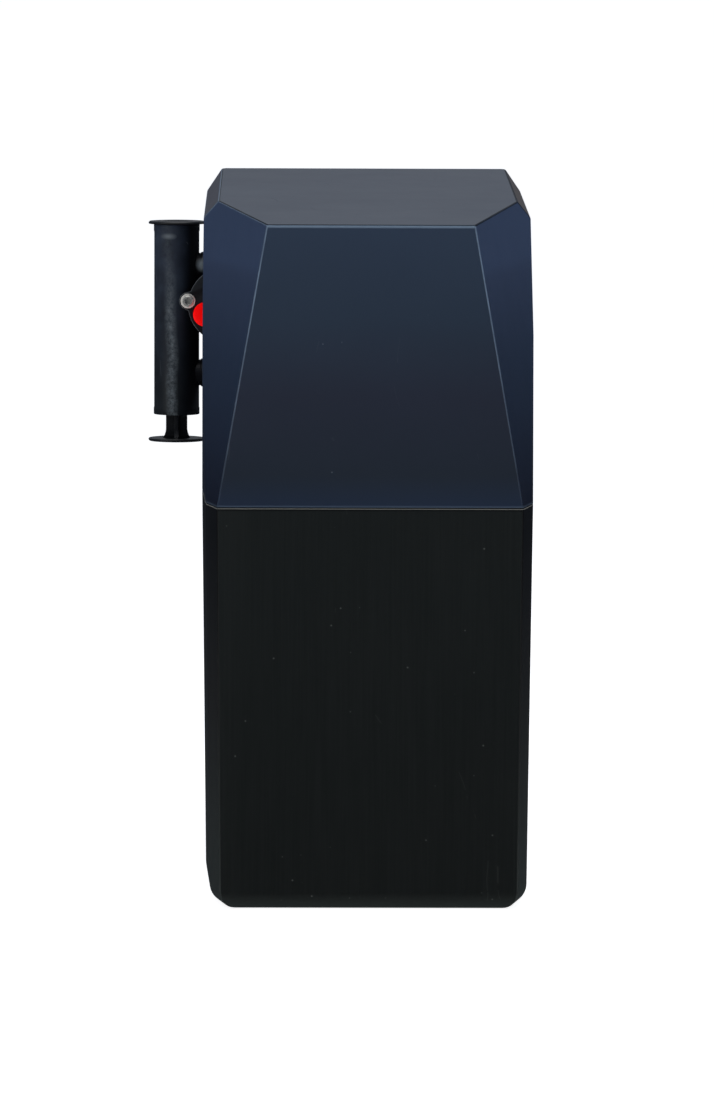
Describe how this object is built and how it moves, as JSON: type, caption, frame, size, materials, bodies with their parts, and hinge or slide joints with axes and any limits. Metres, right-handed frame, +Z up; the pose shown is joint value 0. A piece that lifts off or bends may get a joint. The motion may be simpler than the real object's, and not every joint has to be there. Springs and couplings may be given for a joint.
{
  "type": "water softener",
  "caption": "Cabinet water softener: faceted lift-off hood on a salt cabinet, twin resin tanks with a geared metering valve, brine well and float, push-pull bypass behind.",
  "frame": {"origin": "centre of the cabinet's underside, on the floor", "axes": "+Z up, the front faces -Y, +X is the right-hand side seen from the front"},
  "size_m": [0.2834, 0.519, 0.5043],
  "materials": {
    "navy_plastic": "satin",
    "black_plastic": "satin",
    "moulded_black": "moulded",
    "tank_shell": "wound fibre in resin",
    "white_plastic": "satin",
    "acetal": "satin",
    "ceramic": "lapped",
    "resin_beads": "granular",
    "seal_rubber": "matt",
    "stainless_steel": "bright",
    "red_plastic": "satin"
  },
  "bodies": {
    "cabinet": {"cabinet_base": "black_plastic", "tank_left": "tank_shell", "tank_right": "tank_shell", "strainer_left": "white_plastic", "strainer_right": "white_plastic", "riser_left": "white_plastic", "riser_right": "white_plastic", "resin_bed_left": "resin_beads", "resin_bed_right": "resin_beads", "tank_seal_left": "seal_rubber", "tank_seal_right": "seal_rubber", "valve_body": "moulded_black", "gear_cover": "moulded_black", "cover_screw_1": "stainless_steel", "cover_screw_2": "stainless_steel", "cover_screw_3": "stainless_steel", "cover_screw_4": "stainless_steel", "turbine_lid": "acetal", "disc_lid": "acetal", "injector_cap": "moulded_black", "brine_elbow": "moulded_black", "drain_spigot": "moulded_black", "brine_line": "white_plastic", "brine_well": "white_plastic", "brine_well_cap": "moulded_black", "brine_valve": "moulded_black", "overflow_fitting": "moulded_black", "overflow_nut": "moulded_black", "manifold": "moulded_black", "clip_inlet": "moulded_black", "clip_outlet": "moulded_black", "mixing_cover": "moulded_black", "mixing_bolt_1": "stainless_steel", "mixing_bolt_2": "stainless_steel", "mixing_bolt_3": "stainless_steel", "bypass_barrel": "moulded_black"},
    "hood": {"hood": "navy_plastic"},
    "spool": {"bypass_spool": "moulded_black", "spool_ring_1": "seal_rubber", "spool_ring_2": "seal_rubber", "spool_ring_3": "seal_rubber", "spool_ring_4": "seal_rubber", "spool_end_disc": "moulded_black"},
    "mixing_knob": {"mixing_knob": "red_plastic"},
    "control": {"control_gear": "acetal", "port_disc": "ceramic", "advance_knob": "moulded_black"},
    "lay": {"lay_gear": "acetal"},
    "turbine": {"turbine": "acetal"},
    "float": {"brine_float": "white_plastic"},
    "grid": {"salt_grid": "white_plastic"}
  },
  "joints": [
    {"name": "hood_lift", "type": "slide", "parent": "cabinet", "child": "hood", "axis": [0, 0, 1], "range_m": [0, 0.24]},
    {"name": "grid_lift", "type": "slide", "parent": "cabinet", "child": "grid", "axis": [0, 0, 1], "range_m": [0, 0.2]},
    {"name": "bypass_slide", "type": "slide", "parent": "cabinet", "child": "spool", "axis": [0, 0, 1], "range_m": [0, 0.018]},
    {"name": "mixing_turn", "type": "hinge", "parent": "cabinet", "child": "mixing_knob", "pos_m": [-0.1206, 0.23, 0.3922], "axis": [0, -1, 0], "range_deg": [0, 270]},
    {"name": "control_spin", "type": "hinge", "parent": "cabinet", "child": "control", "pos_m": [-0.03, 0.13, 0.4245], "axis": [0, 0, 1], "continuous": true},
    {"name": "lay_spin", "type": "hinge", "parent": "cabinet", "child": "lay", "pos_m": [0, 0.13, 0.4245], "axis": [0, 0, 1], "continuous": true},
    {"name": "turbine_spin", "type": "hinge", "parent": "cabinet", "child": "turbine", "pos_m": [0.03, 0.13, 0.4245], "axis": [0, 0, 1], "continuous": true},
    {"name": "float_rise", "type": "slide", "parent": "cabinet", "child": "float", "axis": [0, 0, 1], "range_m": [0, 0.11]}
  ],
  "couplings": [
    {"joint": "lay_spin", "follows": "control_spin", "ratio": -3},
    {"joint": "turbine_spin", "follows": "control_spin", "ratio": 9}
  ]
}
